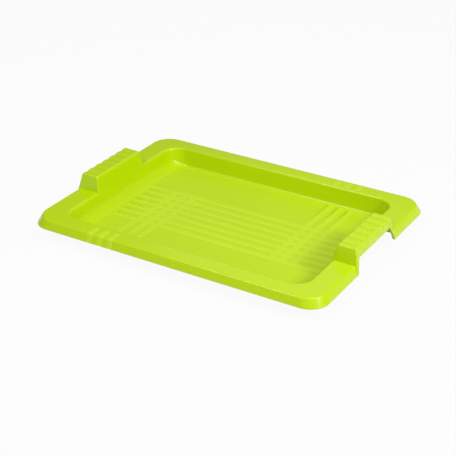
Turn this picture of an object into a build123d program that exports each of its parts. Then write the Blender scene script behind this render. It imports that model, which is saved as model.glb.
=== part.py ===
"""A moulded carrying tray: a shallow rectangular basin with a broad flat rim, a sloping
skirt round the rim, a hollow fluted grip at each end and a raised stripe pattern.

Millimetres. X runs along the length, Y across the width, Z up. The origin is the middle of
the underside, so the tray stands on Z = 0.
"""
import os
from math import atan, cos, radians, sqrt, tan

from build123d import *

# Rim, measured at the foot of the skirt
length = 460.0
width = 340.0
wall = 2.0
end_flange = 33.5
side_flange = 25.0
rim_corner = 29.0
skirt_height = 12.8
skirt_flare = 6.0
rim_edge_radius = 2.5
skirt_strip = 3.0

# Basin
basin_depth = 29.0
basin_corner = 29.0
end_draft = 11.0
side_draft = 5.0
foot_radius = 8.0
lip_radius = 3.2
lip_strip = 5.0

# Grips, one at each end
grip_rise = 22.5
grip_outer_draft = 13.0
grip_end_draft = 11.0
grip_edge_radius = 2.4
ridge_count = 7
ridge_pitch = 17.0
end_ridge = 5.5
flute_width = 9.5
flute_depth = 1.3
notch_rise = 8.2
notch_draft = 22.0
cheek = 8.0

# Raised stripes on the floor and over the rim
stripe_pitch = 17.0
stripe_width = 9.6
stripe_height = 0.9
stripe_slope = 45.0
long_stripe_count = 7
cross_stripe_count = 3
cross_stripe_offset = 110.0

# Levels
flange_top = wall + basin_depth
flange_under = flange_top - wall
skirt_foot = flange_top - skirt_height
grip_top = flange_top + grip_rise

# Rim outline at the flange, and the thickness of the leaning skirt measured level
flange_length = length - 2 * skirt_flare
flange_width = width - 2 * skirt_flare
skirt_lean = atan(skirt_flare / skirt_height)
skirt_wall = wall / cos(skirt_lean)

# Basin outline at the flange and at the floor
opening_length = flange_length - 2 * end_flange
opening_width = flange_width - 2 * side_flange
floor_length = opening_length - 2 * basin_depth * tan(radians(end_draft))
floor_width = opening_width - 2 * basin_depth * tan(radians(side_draft))

# Grip outline
grip_top_half = (ridge_count - 1) * ridge_pitch / 2 + end_ridge / 2
grip_skin = wall + flute_depth
notch_top = flange_top + notch_rise


def drafted_block(bottom, top, low_x, high_x, half_y):
    """A block from bottom to top with sloping sides, whose places are functions of height."""
    with BuildPart() as block:
        with BuildSketch(Plane.XZ):
            with BuildLine():
                Polyline(
                    (low_x(bottom), bottom),
                    (high_x(bottom), bottom),
                    (high_x(top), top),
                    (low_x(top), top),
                    close=True,
                )
            make_face()
        extrude(amount=width, both=True)
        with BuildSketch(Plane.YZ):
            with BuildLine():
                Polyline(
                    (half_y(bottom), bottom),
                    (half_y(top), top),
                    (-half_y(top), top),
                    (-half_y(bottom), bottom),
                    close=True,
                )
            make_face()
        extrude(amount=length, both=True, mode=Mode.INTERSECT)
    return block.part


def rounded_block(bottom, top, half_length, half_width, corner):
    """A block about the middle with sloping sides and rounded corners."""
    with BuildPart() as block:
        add(drafted_block(bottom, top, lambda height: -half_length(height), half_length, half_width))
        fillet(block.edges().group_by(Axis.Z)[1], corner)
    return block.part


def basin_block(bottom, top, grow, foot):
    """The basin's inside from bottom to top, made larger all round by grow, with a rounded foot."""

    def half_length(height):
        return opening_length / 2 + (height - flange_top) * tan(radians(end_draft)) + grow

    def half_width(height):
        return opening_width / 2 + (height - flange_top) * tan(radians(side_draft)) + grow

    with BuildPart() as block:
        add(rounded_block(bottom, top, half_length, half_width, basin_corner + grow))
        fillet(block.faces().sort_by(Axis.Z)[0].edges(), foot)
    return block.part


def foot_start(draft):
    """How far the rounded foot of a wall reaches along the floor from the wall's own line."""
    return foot_radius * tan(radians(90 - draft) / 2)


def lip_section(mode=Mode.ADD):
    """Outline of the strip of flat rim that belongs to the basin's lip."""
    return RectangleRounded(
        opening_length + 2 * lip_strip,
        opening_width + 2 * lip_strip,
        basin_corner + lip_strip,
        mode=mode,
    )


def rim_block(top, shrink):
    """The skirt's outside from its foot up to a height, made smaller all round by shrink."""

    def inset(height):
        return skirt_flare * (height - skirt_foot) / skirt_height + shrink

    return rounded_block(
        skirt_foot,
        top,
        lambda height: length / 2 - inset(height),
        lambda height: width / 2 - inset(height),
        rim_corner - shrink,
    )


def flange_section():
    """Outline of the flat rim, inside the strip that belongs to the skirt's edge."""
    return RectangleRounded(
        flange_length - 2 * skirt_strip,
        flange_width - 2 * skirt_strip,
        rim_corner - skirt_strip,
    )


def grip_inner(height):
    """X of the right grip's inner face, in line with the basin's end wall."""
    return opening_length / 2 + (height - flange_top) * tan(radians(end_draft))


def grip_outer(height):
    """X of the right grip's outer face, which lands on the foot of the skirt."""
    return length / 2 - (height - skirt_foot) * tan(radians(grip_outer_draft))


def grip_half(height):
    """Half the length of a grip at a height, between its sloping end faces."""
    return grip_top_half + (grip_top - height) * tan(radians(grip_end_draft))


def grip_block(bottom, top, skin_inner, skin_outer, skin_end):
    """The right grip's sloping block from bottom to top, with each face moved in by a skin."""
    return drafted_block(
        bottom,
        top,
        lambda height: grip_inner(height) + skin_inner,
        lambda height: grip_outer(height) - skin_outer,
        lambda height: grip_half(height) - skin_end,
    )


def rounded_grip_block(bottom):
    """The outside of the right grip from bottom up, with its edges rounded."""
    with BuildPart() as block:
        add(grip_block(bottom, grip_top, 0, 0, 0))
        fillet(block.edges().group_by(Axis.Z)[1:], grip_edge_radius)
    return block.part


os.makedirs("parts", exist_ok=True)

# Flat bottom of the basin, inside the rounding at the foot of the walls
with BuildPart() as basin_floor:
    with BuildSketch():
        RectangleRounded(
            floor_length - 2 * foot_radius,
            floor_width - 2 * foot_radius,
            basin_corner - foot_radius,
        )
    extrude(amount=wall)

# The right grip's outside, and the square-cornered seat that it takes out of lip and flange
grip_body = rounded_grip_block(skirt_foot)
grip_seat = grip_block(flange_under, flange_top + wall, -wall, 0, 0)

# Walls of the basin, with the rounded lip where they turn out into the flange
with BuildPart() as basin_wall:
    add(basin_block(0, flange_under, wall, foot_radius + wall))
    with BuildSketch(Plane.XY.offset(flange_under)):
        lip_section()
    extrude(amount=wall)
    add(basin_block(wall, flange_top, 0, foot_radius), mode=Mode.SUBTRACT)
    add(basin_floor.part, mode=Mode.SUBTRACT)
    fillet(basin_wall.faces().sort_by(Axis.Z)[-1].inner_wires()[0].edges(), lip_radius)
    add(grip_seat, mode=Mode.SUBTRACT)
    split(bisect_by=Plane.YZ, keep=Keep.TOP)
    mirror(about=Plane.YZ)

# Flat rim round the basin, in a near and a far half between the grips
with BuildPart() as near_flange:
    with BuildSketch(Plane.XY.offset(flange_under)):
        flange_section()
        lip_section(Mode.SUBTRACT)
    extrude(amount=wall)
    add(grip_seat, mode=Mode.SUBTRACT)
    mirror(grip_seat, about=Plane.YZ, mode=Mode.SUBTRACT)
    split(bisect_by=Plane.XZ, keep=Keep.TOP)

with BuildPart() as far_flange:
    mirror(near_flange.part, about=Plane.XZ)

# Sloping skirt under the edge of the rim, with the rounded edge itself, in the same halves
with BuildPart() as near_skirt:
    add(rim_block(flange_top, 0))
    fillet(near_skirt.faces().sort_by(Axis.Z)[-1].edges(), rim_edge_radius)
    add(rim_block(flange_under, skirt_wall), mode=Mode.SUBTRACT)
    with BuildSketch(Plane.XY.offset(skirt_foot)):
        flange_section()
    extrude(amount=skirt_height, mode=Mode.SUBTRACT)
    add(grip_body, mode=Mode.SUBTRACT)
    mirror(grip_body, about=Plane.YZ, mode=Mode.SUBTRACT)
    split(bisect_by=Plane.XZ, keep=Keep.TOP)

with BuildPart() as far_skirt:
    mirror(near_skirt.part, about=Plane.XZ)

# One flute: a rod laid along the top of a grip, over its outer edge and down its outer face
flute_radius = (flute_width**2 / 4 + flute_depth**2) / (2 * flute_depth)
flute_rise = flute_radius - flute_depth
flute_axis_top = grip_top + flute_rise
flute_axis_out = flute_rise / cos(radians(grip_outer_draft))
with BuildPart() as flute:
    with BuildLine() as flute_path:
        FilletPolyline(
            (opening_length / 2, 0, flute_axis_top),
            (grip_outer(flute_axis_top) + flute_axis_out, 0, flute_axis_top),
            (grip_outer(flange_top) + flute_axis_out, 0, flange_top),
            radius=grip_edge_radius + flute_rise,
        )
    with BuildSketch(Plane(flute_path.line @ 0, z_dir=flute_path.line % 0)):
        Circle(flute_radius)
    sweep()

# Square foot that fills a grip's seat in the lip
grip_foot_depth = grip_outer(flange_under) - opening_length / 2 - lip_strip
grip_foot = grip_block(flange_under, flange_top, 0, grip_foot_depth, 0)

# Space inside a grip, open below, and the part of its shell that the rim takes the place of
grip_hollow = grip_block(skirt_foot - wall, grip_top - grip_skin, wall, grip_skin, wall)
with BuildPart() as rim_space:
    with BuildSketch(Plane.XZ):
        with BuildLine():
            Polyline(
                (grip_inner(skirt_foot), skirt_foot),
                (length / 2 - skirt_wall, skirt_foot),
                (flange_length / 2 + skirt_flare * wall / skirt_height - skirt_wall, flange_under),
                (grip_inner(skirt_foot), flange_under),
                close=True,
            )
        make_face()
    extrude(amount=width / 2, both=True)

# Half the width of the finger notch, at its top and at the foot of the skirt
notch_half = grip_half(notch_top) - cheek
notch_foot_half = notch_half + (notch_top - skirt_foot) * tan(radians(notch_draft))

# Hollow grip, fluted across its top and outer face, with a finger notch below
with BuildPart() as right_grip:
    add(grip_body)
    add(grip_foot)
    add(grip_hollow, mode=Mode.SUBTRACT)
    add(rim_space.part, mode=Mode.SUBTRACT)
    with Locations(*[(0, (i + 1 - ridge_count / 2) * ridge_pitch, 0) for i in range(ridge_count - 1)]):
        add(flute.part, mode=Mode.SUBTRACT)
    with BuildSketch(Plane.YZ.offset(grip_inner(notch_top) + wall)):
        with BuildLine():
            Polyline(
                (notch_foot_half, skirt_foot),
                (notch_half, notch_top),
                (-notch_half, notch_top),
                (-notch_foot_half, skirt_foot),
                close=True,
            )
        make_face()
    extrude(amount=length, mode=Mode.SUBTRACT)

with BuildPart() as left_grip:
    mirror(right_grip.part, about=Plane.YZ)

# Raised stripes on the floor: lengthwise ones from end to end, and two groups of cross
# stripes, each from one long wall as far as the last lengthwise stripe
stripe_run = sqrt(2 * foot_radius * stripe_height) + stripe_height * tan(radians(stripe_slope))
long_half = floor_length / 2 - foot_start(end_draft) + stripe_run
cross_far = (long_stripe_count - 1) * stripe_pitch / 2 + stripe_width / 2
cross_near = floor_width / 2 - foot_start(side_draft) + stripe_run
with BuildPart() as floor_stripes:
    with BuildSketch(Plane.XY.offset(wall)):
        with GridLocations(0, stripe_pitch, 1, long_stripe_count):
            Rectangle(2 * long_half, stripe_width)
        for turn in (0, 180):
            with Locations(Rot(0, 0, turn) * Pos(-cross_stripe_offset, (cross_far - cross_near) / 2)):
                with GridLocations(stripe_pitch, 0, cross_stripe_count, 1):
                    Rectangle(stripe_width, cross_far + cross_near)
    extrude(amount=stripe_height, taper=stripe_slope)
    add(basin_wall.part, mode=Mode.SUBTRACT)

# One cross stripe carried over the near rim and down its skirt
stripe_top = stripe_width - 2 * stripe_height * tan(radians(stripe_slope))
with BuildPart() as rim_stripe:
    with BuildLine(Plane.YZ) as rim_path:
        FilletPolyline(
            (-(opening_width / 2 + lip_strip), flange_top),
            (-flange_width / 2, flange_top),
            (-width / 2, skirt_foot),
            radius=rim_edge_radius,
        )
    with BuildSketch(Plane(rim_path.line @ 0, x_dir=(1, 0, 0), z_dir=rim_path.line % 0)):
        with BuildLine():
            Polyline(
                (-stripe_width / 2, 0),
                (stripe_width / 2, 0),
                (stripe_top / 2, stripe_height),
                (-stripe_top / 2, stripe_height),
                close=True,
            )
        make_face()
    sweep()

# The near rim's group of stripes, and the same group turned half round on the far rim
with BuildPart() as near_rim_stripes:
    with Locations((-cross_stripe_offset, 0, 0)):
        with GridLocations(stripe_pitch, 0, cross_stripe_count, 1):
            add(rim_stripe.part)

with BuildPart() as far_rim_stripes:
    add(near_rim_stripes.part.rotate(Axis.Z, 180))

for piece, name in (
    (basin_floor, "basin_floor"),
    (basin_wall, "basin_wall"),
    (floor_stripes, "floor_stripes"),
    (near_flange, "near_flange"),
    (far_flange, "far_flange"),
    (near_skirt, "near_skirt"),
    (far_skirt, "far_skirt"),
    (near_rim_stripes, "near_rim_stripes"),
    (far_rim_stripes, "far_rim_stripes"),
    (left_grip, "left_grip"),
    (right_grip, "right_grip"),
):
    piece.part.label = name
    export_step(piece.part, f"parts/{name}.step")
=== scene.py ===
# Looks of a lime green moulded carrying tray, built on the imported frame. Sizes are millimetres
# unless a comment says otherwise, and MM turns them into Blender's metres. X runs along the tray,
# Y across it and away from the camera, Z up.

from collections import namedtuple
from math import atan2, cos, hypot, pi, radians, sin, sqrt, tan

import bmesh
import bpy
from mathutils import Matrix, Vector


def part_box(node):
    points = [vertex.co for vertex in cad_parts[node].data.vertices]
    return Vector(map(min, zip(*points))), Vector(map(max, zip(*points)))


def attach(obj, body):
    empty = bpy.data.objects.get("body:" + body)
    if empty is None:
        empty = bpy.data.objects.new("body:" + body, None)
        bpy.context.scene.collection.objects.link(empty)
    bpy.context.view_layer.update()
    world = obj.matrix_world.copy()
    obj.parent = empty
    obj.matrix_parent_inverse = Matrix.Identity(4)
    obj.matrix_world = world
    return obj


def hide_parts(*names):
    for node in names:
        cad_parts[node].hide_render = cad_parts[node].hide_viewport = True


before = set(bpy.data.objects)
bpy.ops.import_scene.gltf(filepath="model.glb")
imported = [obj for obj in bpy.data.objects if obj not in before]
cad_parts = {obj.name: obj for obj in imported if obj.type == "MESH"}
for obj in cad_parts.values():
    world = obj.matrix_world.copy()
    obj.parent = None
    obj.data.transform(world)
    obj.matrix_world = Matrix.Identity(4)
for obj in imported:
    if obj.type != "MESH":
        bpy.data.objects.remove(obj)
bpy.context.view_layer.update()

MM = 0.001
X, Y, Z = range(3)


def reach(node, axis):
    """How far a node reaches along an axis, from the frame."""
    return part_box(node)[1][axis] / MM


def foot(node):
    """Height of a node's lowest point, from the frame."""
    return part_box(node)[0].z / MM


# Sizes that the frame gives
half_length = reach("near_skirt", X)
half_width = reach("far_skirt", Y)
skirt_foot = foot("near_skirt")
flange_top = reach("near_flange", Z)
flange_under = foot("near_flange")
lip_half_length = reach("basin_wall", X)
lip_half_width = reach("basin_wall", Y)
floor_top = reach("basin_floor", Z)
grip_top = reach("right_grip", Z)

# Rim and basin, with corners, feet, lips and rim edge rounded as the photograph shows them
skirt_flare = 6.0
rim_corner = 29.0
rim_edge_radius = 3.5
skirt_strip = 3.0
skirt_foot_radius = 0.8
basin_corner = 24.0
end_draft = radians(11)
side_draft = radians(5)
end_foot_radius = 20.0
side_foot_radius = 5.0
end_lip_radius = 5.0
side_lip_radius = 2.8
lip_strip = 5.0

# Grips, with softer edges than the solids and flutes that are shallow on top
grip_outer_draft = radians(13)
grip_end_draft = radians(11)
grip_edge_radius = 2.4
grip_inner_radius = 3.6
grip_end_radius = 2.0
hollow_radius = 1.0
ridge_count = 7
ridge_pitch = 17.0
end_ridge = 5.5
flute_width = 10.0
flute_depth = 1.0
flute_start = 0.1
flute_fade = 1.5
notch_rise = 8.2
notch_draft = radians(22)
cheek = 8.0
notch_edge_radius = 0.6

# Raised stripes, where the solids have them but lower and with soft edges
stripe_pitch = 17.0
stripe_width = 9.6
stripe_height = 0.28
stripe_edge = 3.8
stripe_fade = 3.0
long_stripe_count = 7
cross_stripe_count = 3
cross_stripe_offset = 110.0

# Fineness of the meshes
corner_steps = 20
fillet_steps = 8
edge_steps = 5
cheek_steps = 3
fade_steps = 5
notch_edge_steps = 3
round_profile = 0.5
flute_column = 1.0
weld = 0.0005
sharp_angle = radians(32)

# How far the pieces of this one moulding reach into each other
rim_overlap = 0.1
stripe_bite = 0.4

# How far the grips stop above the foot of the skirt
foot_step = 0.05

# Finishes of the plastic: grain in metres, roughness and colours as the two ends of a range. Lime
# is the plastic's own colour; the wall, floor and stripe colours are copies of it with painted
# light in them
plastic_ior = 1.4
cloud_noise = {"Scale": 9.0, "Detail": 3.0, "Roughness": 0.5}
cloud_stops = 0.3, 0.7
haze_noise = {"Scale": 35.0, "Detail": 4.0, "Roughness": 0.6}
pore_noise = {"Scale": 1400.0, "Detail": 2.0, "Roughness": 0.5}
pore_strength = 0.35
gloss_grain = 0.00002
satin_grain = 0.00003
matt_grain = 0.00004
wall_roughness = 0.13, 0.19
body_roughness = 0.18, 0.24
rim_roughness = 0.26, 0.34
stripe_roughness = 0.4, 0.48
floor_roughness = 0.48, 0.56
lime = (0.46, 0.65, 0.0), (0.48, 0.67, 0.0)
# Walls: the lime shifted redder and less green, painted to stand in for how light falls on the
# inner walls
wall_lime_painted_light = (0.472, 0.645, 0.0), (0.492, 0.665, 0.0)
# Floor: the lime with a touch of blue, a painted reflection of the bright surroundings on the matt
# floor
floor_lime_painted_reflection = (0.465, 0.655, 0.008), (0.485, 0.675, 0.008)
# Floor stripes: the lime made paler and a little blue, a painted sheen for the light that their
# raised tops catch
stripe_lime_painted_sheen = (0.5, 0.705, 0.014), (0.52, 0.725, 0.014)
# Rim stripes: the lime made paler, a painted sheen for the light that the raised bars catch on the
# rim
rim_stripe_lime_painted_sheen = (0.495, 0.7, 0.008), (0.515, 0.72, 0.008)

# Height over which the floor's matt finish turns into the gloss of the walls
gloss_rise = 2.6

# White floor and surroundings: sizes in metres, levels as shares of full white
stage_half_size = 8.0
stage_height = -0.0004
stage_white = 0.94
stage_grey = 0.6
world_level = 0.45
world_slope = (0.13, -0.2, -0.1)

# Camera of the photograph: its place in metres, its dip and heading in degrees
camera_place = (0.79608, -1.32533, 0.82225)
camera_dip = 28.03
camera_heading = 31.145
camera_lens = 96.3
camera_sensor = 36.0

# Worked out from the sizes above
rim_bite = grip_end_radius + rim_overlap
wall = flange_top - flange_under
opening_half_length = lip_half_length - lip_strip
opening_half_width = lip_half_width - lip_strip
skirt_height = flange_top - skirt_foot
skirt_wall = wall * hypot(skirt_flare, skirt_height) / skirt_height
rim_half_length = half_length - skirt_flare
rim_half_width = half_width - skirt_flare
grip_top_half = (ridge_count - 1) * ridge_pitch / 2 + end_ridge / 2
grip_skin = wall + flute_depth
notch_top = flange_top + notch_rise
seat_top = flange_top - end_lip_radius * (1 - sin(end_draft))

Station = namedtuple("Station", "out z normal_out normal_z")
Row = namedtuple("Row", "x y corner end_z side_z")


def soft(share):
    """A smooth rise from 0 to 1."""
    share = min(max(share, 0.0), 1.0)
    return share * share * (3 - 2 * share)


def rounded_path(corners):
    """Stations along a path through corners (out, z, radius), each rounded by its radius.

    The normal of a station is on the left of the path.
    """
    stations = []
    for i, (out, z, radius) in enumerate(corners):
        here = Vector((out, z))
        before = Vector(corners[max(i - 1, 0)][:2])
        after = Vector(corners[min(i + 1, len(corners) - 1)][:2])
        leaving = (after - here if i + 1 < len(corners) else here - before).normalized()
        coming = (here - before if i else leaving).normalized()
        turn = atan2(coming.x * leaving.y - coming.y * leaving.x, coming.dot(leaving))
        if not radius:
            stations.append(Station(out, z, -coming.y, coming.x))
            continue
        bend = radius if turn > 0 else -radius
        start = here - coming * radius * tan(abs(turn) / 2)
        centre = start + bend * Vector((-coming.y, coming.x))
        heading = atan2(coming.y, coming.x)
        for step in range(fillet_steps + 1):
            angle = heading + turn * step / fillet_steps
            normal = Vector((-sin(angle), cos(angle)))
            place = centre - bend * normal
            stations.append(Station(place.x, place.y, normal.x, normal.y))
    return stations


def grip_half(height):
    """Half the length of a grip at a height, between its sloping end faces."""
    return grip_top_half + (grip_top - height) * tan(grip_end_draft)


def grip_inner(height):
    """X of the right grip's inner face, in line with the basin's end wall."""
    return opening_half_length + (height - flange_top) * tan(end_draft)


def grip_outer(height):
    """X of the right grip's outer face, which lands on the foot of the skirt."""
    return half_length - (height - skirt_foot) * tan(grip_outer_draft)


def notch_half(height):
    """Half the width of the finger notch at a height."""
    return grip_half(notch_top) - cheek + max(notch_top - height, 0.0) * tan(notch_draft)


def corner_columns(side_x, side_y):
    """Columns round one corner of the tray, from its end to its side; a column places a row."""

    def column(turn):
        def place(row):
            x = row.x - row.corner * (1 - cos(turn))
            y = row.y - row.corner * (1 - sin(turn))
            z = row.end_z * cos(turn) ** 2 + row.side_z * sin(turn) ** 2
            return side_x * x, side_y * y, z

        return place

    return [column(pi / 2 * step / corner_steps) for step in range(corner_steps + 1)]


def grip_column(side_x, side_y):
    """The column where a rim row ends, just inside the end wall of a grip."""

    def place(row):
        return side_x * row.x, side_y * (grip_half(row.end_z) - rim_bite), row.end_z

    return place


def half_columns(side):
    """Columns from grip to grip round the near half of the tray (side 1) or the far half (-1)."""
    first = corner_columns(side, -side)
    second = corner_columns(-side, -side)[::-1]
    return [grip_column(side, -side), *first, *second, grip_column(-side, -side)]


def add_tube(mesh, loops, ring=False):
    """Quads between closed loops of equal length, joined into a ring or closed by two caps."""
    corners = [[mesh.verts.new(Vector(point) * MM) for point in loop] for loop in loops]
    following = corners[1:] + corners[:1] if ring else corners[1:]
    for loop, after in zip(corners, following):
        for i in range(len(loop)):
            mesh.faces.new((loop[i - 1], loop[i], after[i], after[i - 1]))
    if not ring:
        mesh.faces.new(corners[0])
        mesh.faces.new(corners[-1])


def finish_piece(mesh, node, slot, finish=None):
    """Turns a mesh into the piece that shows for a node, in its slot's finish or another."""
    bmesh.ops.remove_doubles(mesh, verts=mesh.verts, dist=weld * MM)
    bmesh.ops.recalc_face_normals(mesh, faces=mesh.faces)
    data = bpy.data.meshes.new("moulded_" + node)
    mesh.to_mesh(data)
    mesh.free()
    data.shade_smooth()
    data.set_sharp_from_angle(angle=sharp_angle)
    data.materials.append(finishes[finish or slot])
    piece = bpy.data.objects.new("moulded_" + node, data)
    bpy.context.scene.collection.objects.link(piece)
    even = piece.modifiers.new("even_shading", "WEIGHTED_NORMAL")
    even.keep_sharp = True
    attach(piece, "root")
    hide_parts(node)


def foot_start(opening_half, draft, foot_radius):
    """Where the floor ends and the rounding at the foot of a wall starts."""
    corner = opening_half - (flange_top - floor_top) * tan(draft)
    return corner - foot_radius * tan((pi / 2 - draft) / 2)


def make_floor():
    """Flat bottom of the basin."""
    edge = wall_rows()[0]
    columns = [*half_columns(1)[1:-1], *half_columns(-1)[1:-1]]
    loops = []
    for z in (0.0, floor_top):
        row = edge._replace(end_z=z, side_z=z)
        loops.append([place(row) for place in columns])
    mesh = bmesh.new()
    add_tube(mesh, loops)
    finish_piece(mesh, "basin_floor", "body", "floor")


def wall_section(opening_half, draft, foot_radius, lip_radius):
    """Section of the basin's wall: up the inside, over the lip and back down the outside."""

    def plane(height):
        return opening_half + (height - flange_top) * tan(draft)

    floor_half = foot_start(opening_half, draft, foot_radius)
    lip_border = opening_half + lip_strip
    section = rounded_path(
        (
            (floor_half, floor_top, 0),
            (plane(floor_top), floor_top, foot_radius),
            (plane(flange_top), flange_top, lip_radius),
            (lip_border, flange_top, 0),
            (lip_border, flange_under, 0),
            (plane(flange_under) + wall, flange_under, 0),
            (plane(0) + wall, 0, foot_radius + wall),
            (floor_half, 0, 0),
        )
    )
    return section, [plane(max(station.z, floor_top)) - station.out for station in section]


def wall_rows():
    """Rows of the basin's wall, with a corner that follows each row's place in the section."""
    ends, end_insets = wall_section(
        opening_half_length,
        end_draft,
        end_foot_radius,
        end_lip_radius,
    )
    sides, side_insets = wall_section(
        opening_half_width,
        side_draft,
        side_foot_radius,
        side_lip_radius,
    )
    rows = []
    for end, side, end_inset, side_inset in zip(ends, sides, end_insets, side_insets):
        corner = basin_corner - (end_inset + side_inset) / 2
        rows.append(Row(end.out, side.out, corner, end.z, side.z))
    return rows


def seat_rows(rows):
    """The wall's rows under a grip, where a flat edge takes the place of the lip."""
    rounding = fillet_steps + 1
    border_corners = 2
    lip_first = 1 + rounding
    lip_last = lip_first + rounding + border_corners
    start, stop = rows[lip_first], rows[lip_last]
    changed = list(rows)
    for i in range(lip_first, lip_last):
        share = (i - lip_first) / (lip_last - lip_first)
        x = start.x + (stop.x - start.x) * share
        z = start.end_z + (stop.end_z - start.end_z) * share
        changed[i] = Row(x, start.y, start.corner, z, z)
    return changed


def make_wall():
    """Walls of the basin with the rounded foot and lip."""
    rows = wall_rows()
    seats = seat_rows(rows)
    loops = []
    for side in (1, -1):
        loops += [[place(row) for row in rows] for place in half_columns(side)]
        for side_y in (-side, side):
            loops.append([grip_column(-side, side_y)(row) for row in seats])
    mesh = bmesh.new()
    add_tube(mesh, loops, ring=True)
    finish_piece(mesh, "basin_wall", "body", "wall")


def make_flange(node, side):
    """Flat rim between the basin's lip and the rim's edge, from grip to grip."""
    inner = (lip_half_length, lip_half_width, basin_corner + lip_strip)
    outer = (rim_half_length - skirt_strip, rim_half_width - skirt_strip, rim_corner - skirt_strip)
    rows = []
    for outline, z in (
        (inner, flange_top),
        (outer, flange_top),
        (outer, flange_under),
        (inner, flange_under),
    ):
        rows.append(Row(*outline, z, z))
    mesh = bmesh.new()
    add_tube(mesh, [[place(row) for row in rows] for place in half_columns(side)])
    finish_piece(mesh, node, "body")


def make_skirt(node, side):
    """Sloping skirt with the rounded edge of the rim, from grip to grip."""
    slope = skirt_flare / skirt_height
    section = rounded_path(
        (
            (-skirt_strip, flange_top, 0),
            (0, flange_top, rim_edge_radius),
            (skirt_flare, skirt_foot, skirt_foot_radius),
            (skirt_flare - skirt_wall, skirt_foot, skirt_foot_radius),
            (slope * wall - skirt_wall, flange_under, 0),
            (-skirt_strip, flange_under, 0),
        )
    )
    rows = []
    for out, z, _, _ in section:
        inset = slope * (flange_top - z) - out
        corner = rim_corner - min(inset, skirt_strip)
        rows.append(Row(rim_half_length + out, rim_half_width + out, corner, z, z))
    mesh = bmesh.new()
    add_tube(mesh, [[place(row) for row in rows] for place in half_columns(side)])
    finish_piece(mesh, node, "body")


def bar_lines(centre):
    """Places across one raised stripe: up its soft edge, over its top and down again."""
    rise = [stripe_width / 2 - stripe_edge * step / edge_steps for step in range(edge_steps + 1)]
    return [centre - place for place in rise] + [centre + place for place in rise[::-1]]


def stripe_end(opening_half, draft, foot_radius):
    """Where a floor stripe runs out in the rounding at the foot of a wall."""
    rounding = foot_start(opening_half, draft, foot_radius)
    return rounding + sqrt(2 * foot_radius * stripe_height) + stripe_bite


def centred(count, pitch):
    """Places of a row of things spaced evenly about the middle."""
    return [(i - (count - 1) / 2) * pitch for i in range(count)]


def make_floor_stripes():
    """Raised stripe lattice on the floor, with soft edges, closed below."""
    end = stripe_end(opening_half_length, end_draft, end_foot_radius)
    side = stripe_end(opening_half_width, side_draft, side_foot_radius)
    lengthwise = centred(long_stripe_count, stripe_pitch)
    last = lengthwise[-1] + stripe_width / 2
    half = stripe_width / 2
    bars = [(-end, end, y - half, y + half) for y in lengthwise]
    for offset in centred(cross_stripe_count, stripe_pitch):
        left = offset - cross_stripe_offset
        right = offset + cross_stripe_offset
        bars.append((left - half, left + half, -side, last))
        bars.append((right - half, right + half, -last, side))

    def height(x, y):
        inside = max(min(x - x0, x1 - x, y - y0, y1 - y) for x0, x1, y0, y1 in bars)
        return soft(inside / stripe_edge)

    columns = {-end, end}
    for x0, x1, _, _ in bars[long_stripe_count:]:
        columns.update(bar_lines((x0 + x1) / 2))
    lines = {-side, side}
    for y in lengthwise:
        lines.update(bar_lines(y))
    xs = sorted(columns)
    ys = sorted(lines)
    mesh = bmesh.new()
    base = floor_top - stripe_bite
    corners = [[mesh.verts.new(Vector((x, y, base)) * MM) for y in ys] for x in xs]
    for i in range(len(xs) - 1):
        for j in range(len(ys) - 1):
            if height((xs[i] + xs[i + 1]) / 2, (ys[j] + ys[j + 1]) / 2) > 0:
                square = corners[i][j], corners[i + 1][j], corners[i + 1][j + 1], corners[i][j + 1]
                mesh.faces.new(square)
    loose = [corner for corner in mesh.verts if not corner.link_faces]
    bmesh.ops.delete(mesh, geom=loose, context="VERTS")
    raised = bmesh.ops.extrude_face_region(mesh, geom=mesh.faces[:], use_keep_orig=True)
    for corner in raised["geom"]:
        if isinstance(corner, bmesh.types.BMVert):
            share = height(corner.co.x / MM, corner.co.y / MM)
            corner.co.z = (floor_top + stripe_height * share) * MM
    finish_piece(mesh, "floor_stripes", "stripes")


def make_rim_stripes(node, side):
    """The cross stripes carried on over the rim and down its skirt (side 1 near, -1 far)."""
    fading = [lip_half_width + stripe_fade * step / edge_steps for step in range(edge_steps + 1)]
    path = rounded_path(
        (
            *[(out, flange_top, 0) for out in fading],
            (rim_half_width, flange_top, rim_edge_radius),
            (half_width, skirt_foot + skirt_foot_radius, 0),
        )
    )
    mesh = bmesh.new()
    for offset in centred(cross_stripe_count, stripe_pitch):
        centre = offset - cross_stripe_offset
        loops = []
        for out, z, normal_out, normal_z in path:
            share = soft((out - lip_half_width) / stripe_fade)
            top = []
            for x in bar_lines(centre):
                inside = stripe_width / 2 - abs(x - centre)
                rise = stripe_height * share * soft(inside / stripe_edge)
                top.append((side * x, -side * (out + normal_out * rise), z + normal_z * rise))
            under_out = out - normal_out * stripe_bite
            under_z = z - normal_z * stripe_bite
            ends = (centre + stripe_width / 2, centre - stripe_width / 2)
            loops.append(top + [(side * x, -side * under_out, under_z) for x in ends])
        add_tube(mesh, loops)
    finish_piece(mesh, node, "stripes", "rim_stripes")


def flute(y):
    """Depth of the flutes across a grip, as a share of their full depth."""
    share = 0.0
    for centre in centred(ridge_count - 1, ridge_pitch):
        off = min(abs(y - centre) / (flute_width / 2), 1.0)
        share += (1 + cos(pi * off)) / 2
    return share


def grip_profile(skin_inner, skin_outer, inner_radius, outer_radius):
    """Stations over a grip from its inner face to its foot, moved in by a skin."""
    top = grip_top - skin_outer
    base = skirt_foot + foot_step
    face_top = top - outer_radius
    fall = (notch_top - face_top) / fade_steps
    fading = [face_top + fall * step for step in range(1, fade_steps + 1)]
    return rounded_path(
        (
            (grip_inner(seat_top) + skin_inner, seat_top, 0),
            (grip_inner(top) + skin_inner, top, inner_radius),
            (grip_outer(top) - skin_outer, top, outer_radius),
            *[(grip_outer(z) - skin_outer, z, 0) for z in fading],
            (grip_outer(base) - skin_outer, base, 0),
        )
    )


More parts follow.
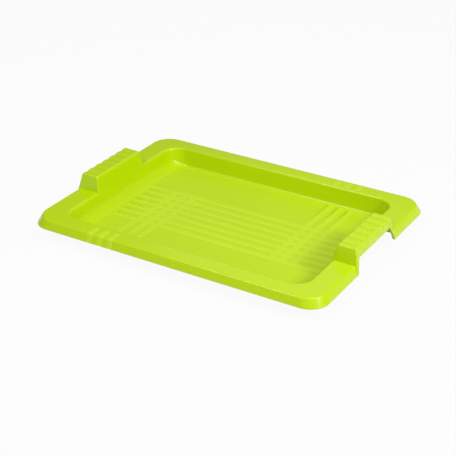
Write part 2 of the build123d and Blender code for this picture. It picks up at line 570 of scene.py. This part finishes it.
def grip_flank(station, border, end_skin, end_radius):
    """Points of a grip at one station, from a border on its face to the end face."""
    out = station.out - end_radius * station.normal_out
    z = station.z - end_radius * station.normal_z
    y = grip_half(z) - end_skin - end_radius / cos(grip_end_draft)
    flank = []
    for step in range(cheek_steps):
        flank.append(Vector((station.out, border + (y - border) * step / cheek_steps, station.z)))
    face = Vector((station.normal_out, 0, station.normal_z))
    end = Vector((0, cos(grip_end_draft), sin(grip_end_draft)))
    for step in range(fillet_steps + 1):
        flank.append(Vector((out, y, z)) + end_radius * face.slerp(end, step / fillet_steps))
    return flank


def flute_share(station):
    """How deep the flutes are at a station: deepest over the outer edge, gone at the notch."""
    inner = grip_inner(grip_top)
    across = (station.out - inner) / (grip_outer(grip_top) - inner)
    share = flute_start + (1 - flute_start) * soft(across)
    share *= soft(flute_fade * (1 + min(station.normal_out, 0.0) / cos(end_draft)))
    return share * soft((station.z - notch_top) / (grip_top - grip_edge_radius - notch_top))


def grip_middle(station, border, depth):
    """Points of a grip at one station between the borders, sunk in its flutes."""
    share = flute_share(station)
    count = round(2 * border / flute_column)
    middle = []
    for i in range(1, count):
        y = border * (2 * i / count - 1)
        sink = depth * share * flute(y)
        out = station.out - station.normal_out * sink
        middle.append(Vector((out, y, station.z - station.normal_z * sink)))
    return middle


def add_grip_skin(mesh, side, profile, end_skin, end_radius, depth, sill):
    """One skin of a grip (side 1 right, -1 left).

    Returns the loop of corners along its border, and where the part that shows starts and stops.
    """

    def corner(point, side_y=1):
        return mesh.verts.new(Vector((side * point.x, side_y * point.y, point.z)) * MM)

    rows = []
    for station in profile:
        over_notch = station is not profile[-1]
        border = notch_half(notch_top if over_notch else station.z)
        flank = grip_flank(station, border, end_skin, end_radius)
        middle = grip_middle(station, border, depth) if over_notch else []
        near = [corner(point, -1) for point in flank[::-1]]
        rows.append((near, [corner(point) for point in middle], [corner(point) for point in flank]))
    for row, after in zip(rows, rows[1:]):
        strips = [(row[0], after[0]), (row[2], after[2])]
        if after[1]:
            strips = [(sum(row, []), sum(after, []))]
        for upper, lower in strips:
            for i in range(1, len(upper)):
                mesh.faces.new((upper[i - 1], upper[i], lower[i], lower[i - 1]))
    near_sill, far_sill = [
        [corner(Vector((out, grip_half(z) - end_skin, z)), side_y) for out, z in sill]
        for side_y in (-1, 1)
    ]
    mesh.faces.new([row[0][0] for row in rows] + near_sill)
    mesh.faces.new([row[2][-1] for row in rows] + far_sill)
    first, edge, last = rows[0], rows[-2], rows[-1]
    hidden = [*sum(first, []), *far_sill[::-1]]
    shown = [*last[2][::-1], *(edge[0][-1:] + edge[1] + edge[2][:1])[::-1], *last[0][::-1]]
    return hidden + shown + near_sill, (len(hidden), len(hidden) + len(shown))


def make_grip(node, side):
    """Hollow fluted grip with a finger notch (side 1 right, -1 left)."""
    mesh = bmesh.new()
    slope = skirt_flare / skirt_height
    base = skirt_foot + foot_step
    sill_top = rim_half_length + slope * wall - skirt_wall
    outer_sill = ((half_length - skirt_wall, base), (sill_top, seat_top))
    inner_sill = ((sill_top + wall, base), (sill_top, seat_top))
    outside, shown = add_grip_skin(
        mesh,
        side,
        grip_profile(0, 0, grip_inner_radius, grip_edge_radius),
        0,
        grip_end_radius,
        flute_depth,
        outer_sill,
    )
    inside, _ = add_grip_skin(
        mesh,
        side,
        grip_profile(wall, grip_skin, hollow_radius, hollow_radius),
        wall,
        hollow_radius,
        0,
        inner_sill,
    )
    for i in range(len(outside)):
        mesh.faces.new((outside[i - 1], outside[i], inside[i], inside[i - 1]))
    bmesh.ops.recalc_face_normals(mesh, faces=mesh.faces)
    rim = [mesh.edges.get((outside[i], outside[i + 1])) for i in range(shown[0], shown[1] - 1)]
    bmesh.ops.bevel(
        mesh,
        geom=rim,
        offset=notch_edge_radius * MM,
        segments=notch_edge_steps,
        profile=round_profile,
        affect="EDGES",
        clamp_overlap=True,
    )
    finish_piece(mesh, node, "body")


def add_node(tree, kind, **inputs):
    """A shader node with values for its inputs, by name with underscores for spaces."""
    made = tree.nodes.new(kind)
    for name, value in inputs.items():
        made.inputs[name.replace("_", " ")].default_value = value
    return made


def plastic(name, colours, roughness, grain, foot_roughness=None):
    """Moulded plastic: a little cloudy in colour and gloss, with a fine surface grain in metres.

    A foot roughness is the finish at the height of the floor, from which it changes upwards.
    """
    material = bpy.data.materials.new(name)
    material.use_nodes = True
    tree = material.node_tree
    shader = tree.nodes["Principled BSDF"]
    shader.inputs["IOR"].default_value = plastic_ior
    place = tree.nodes.new("ShaderNodeTexCoord")
    clouds = add_node(tree, "ShaderNodeTexNoise", **cloud_noise)
    tree.links.new(place.outputs["Object"], clouds.inputs["Vector"])
    ramp = tree.nodes.new("ShaderNodeValToRGB")
    for stop, position, colour in zip(ramp.color_ramp.elements, cloud_stops, colours):
        stop.position = position
        stop.color = (*colour, 1.0)
    tree.links.new(clouds.outputs["Fac"], ramp.inputs["Fac"])
    tree.links.new(ramp.outputs["Color"], shader.inputs["Base Color"])
    haze = add_node(tree, "ShaderNodeTexNoise", **haze_noise)
    tree.links.new(place.outputs["Object"], haze.inputs["Vector"])
    gloss = add_node(tree, "ShaderNodeMapRange", To_Min=roughness[0], To_Max=roughness[1])
    tree.links.new(haze.outputs["Fac"], gloss.inputs["Value"])
    if foot_roughness:
        split = tree.nodes.new("ShaderNodeSeparateXYZ")
        tree.links.new(place.outputs["Object"], split.inputs["Vector"])
        for socket, low, high in zip(("To Min", "To Max"), foot_roughness, roughness):
            rise = add_node(tree, "ShaderNodeMapRange", To_Min=low, To_Max=high)
            rise.interpolation_type = "SMOOTHSTEP"
            rise.inputs["From Min"].default_value = floor_top * MM
            rise.inputs["From Max"].default_value = (floor_top + gloss_rise) * MM
            tree.links.new(split.outputs["Z"], rise.inputs["Value"])
            tree.links.new(rise.outputs["Result"], gloss.inputs[socket])
    tree.links.new(gloss.outputs["Result"], shader.inputs["Roughness"])
    pores = add_node(tree, "ShaderNodeTexNoise", **pore_noise)
    tree.links.new(place.outputs["Object"], pores.inputs["Vector"])
    bump = add_node(tree, "ShaderNodeBump", Strength=pore_strength, Distance=grain)
    tree.links.new(pores.outputs["Fac"], bump.inputs["Height"])
    tree.links.new(bump.outputs["Normal"], shader.inputs["Normal"])
    return material


def make_stage():
    """White floor that stays white behind the tray and keeps its soft shadow."""
    data = bpy.data.meshes.new("floor")
    square = []
    for x, y in ((-1, -1), (1, -1), (1, 1), (-1, 1)):
        square.append((x * stage_half_size, y * stage_half_size, stage_height))
    data.from_pydata(square, [], [(0, 1, 2, 3)])
    floor = bpy.data.objects.new("floor", data)
    bpy.context.scene.collection.objects.link(floor)
    material = bpy.data.materials.new("floor_white")
    material.use_nodes = True
    tree = material.node_tree
    tree.nodes.clear()
    grey = (stage_grey, stage_grey, stage_grey, 1.0)
    matt = add_node(tree, "ShaderNodeBsdfDiffuse", Color=grey)
    glow = add_node(tree, "ShaderNodeEmission", Color=(1.0, 1.0, 1.0, 1.0), Strength=1.0)
    rays = tree.nodes.new("ShaderNodeLightPath")
    seen = "Is Camera Ray", "Is Glossy Ray", "Is Transmission Ray"
    total = rays.outputs[seen[0]]
    for name in seen[1:]:
        either = tree.nodes.new("ShaderNodeMath")
        either.operation = "MAXIMUM"
        tree.links.new(total, either.inputs[0])
        tree.links.new(rays.outputs[name], either.inputs[1])
        total = either.outputs["Value"]
    part = tree.nodes.new("ShaderNodeMath")
    part.operation = "MULTIPLY"
    part.inputs[1].default_value = stage_white
    tree.links.new(total, part.inputs[0])
    mix = tree.nodes.new("ShaderNodeMixShader")
    tree.links.new(part.outputs["Value"], mix.inputs["Fac"])
    tree.links.new(matt.outputs["BSDF"], mix.inputs[1])
    tree.links.new(glow.outputs["Emission"], mix.inputs[2])
    output = tree.nodes.new("ShaderNodeOutputMaterial")
    tree.links.new(mix.outputs["Shader"], output.inputs["Surface"])
    data.materials.append(material)


def make_world():
    """Soft studio surroundings of an even level, which rises along a slope."""
    world = bpy.data.worlds.new("studio")
    bpy.context.scene.world = world
    world.use_nodes = True
    tree = world.node_tree
    background = tree.nodes["Background"]
    background.inputs["Color"].default_value = (1.0, 1.0, 1.0, 1.0)
    place = tree.nodes.new("ShaderNodeTexCoord")
    towards = tree.nodes.new("ShaderNodeVectorMath")
    towards.operation = "DOT_PRODUCT"
    towards.inputs[1].default_value = world_slope
    tree.links.new(place.outputs["Generated"], towards.inputs[0])
    total = tree.nodes.new("ShaderNodeMath")
    total.operation = "ADD"
    total.use_clamp = True
    total.inputs[1].default_value = world_level
    tree.links.new(towards.outputs["Value"], total.inputs[0])
    tree.links.new(total.outputs["Value"], background.inputs["Strength"])


def make_softbox(name, place, aim, size, power):
    """A rectangular soft lamp; place, aim and size in metres, power in watts."""
    lamp = bpy.data.lights.new(name, "AREA")
    lamp.shape = "RECTANGLE"
    lamp.size, lamp.size_y = size
    lamp.energy = power
    holder = bpy.data.objects.new(name, lamp)
    holder.location = place
    holder.rotation_euler = (Vector(aim) - Vector(place)).to_track_quat("-Z", "Y").to_euler()
    bpy.context.scene.collection.objects.link(holder)


def make_camera():
    """The photograph's camera, with everything sharp."""
    data = bpy.data.cameras.new("camera")
    data.sensor_width = camera_sensor
    data.lens = camera_lens
    camera = bpy.data.objects.new("camera", data)
    camera.location = camera_place
    camera.rotation_euler = (radians(90 - camera_dip), 0.0, radians(camera_heading))
    bpy.context.scene.collection.objects.link(camera)
    bpy.context.scene.camera = camera


finishes = {
    "body": plastic("lime_gloss", lime, body_roughness, gloss_grain),
    # Basin walls in a lime tinted with painted light
    "wall": plastic("lime_wall_painted_light", wall_lime_painted_light, wall_roughness, gloss_grain, floor_roughness),
    # Basin floor in a lime with painted reflection
    "floor": plastic("lime_matt_painted_reflection", floor_lime_painted_reflection, floor_roughness, matt_grain),
    # Floor stripes in a paler lime with painted sheen
    "stripes": plastic("lime_satin_painted_sheen", stripe_lime_painted_sheen, stripe_roughness, matt_grain),
    # Rim stripes in a paler lime with painted sheen
    "rim_stripes": plastic("lime_rim_painted_sheen", rim_stripe_lime_painted_sheen, rim_roughness, satin_grain),
}

make_floor()
make_wall()
make_floor_stripes()
for half, side in (("near", 1), ("far", -1)):
    make_flange(half + "_flange", side)
    make_skirt(half + "_skirt", side)
    make_rim_stripes(half + "_rim_stripes", side)
make_grip("right_grip", 1)
make_grip("left_grip", -1)

make_stage()
make_world()
tray = (0.0, 0.0, 0.0)
make_softbox("overhead", place=(0.5, -0.05, 1.1), aim=(0.3, -0.05, 0.0), size=(0.9, 0.9), power=5.2)
make_softbox("right_side", place=(1.4, -0.15, 0.98), aim=tray, size=(0.4, 0.4), power=12.0)
make_softbox("front_left", place=(-0.42, -0.72, 1.1), aim=tray, size=(0.4, 0.4), power=4.8)
make_softbox("back", place=(-0.6, 1.1, 1.06), aim=(-0.6, 0.0, 0.0), size=(0.8, 0.9), power=1.1)
make_camera()
bpy.context.scene.view_settings.view_transform = "Standard"
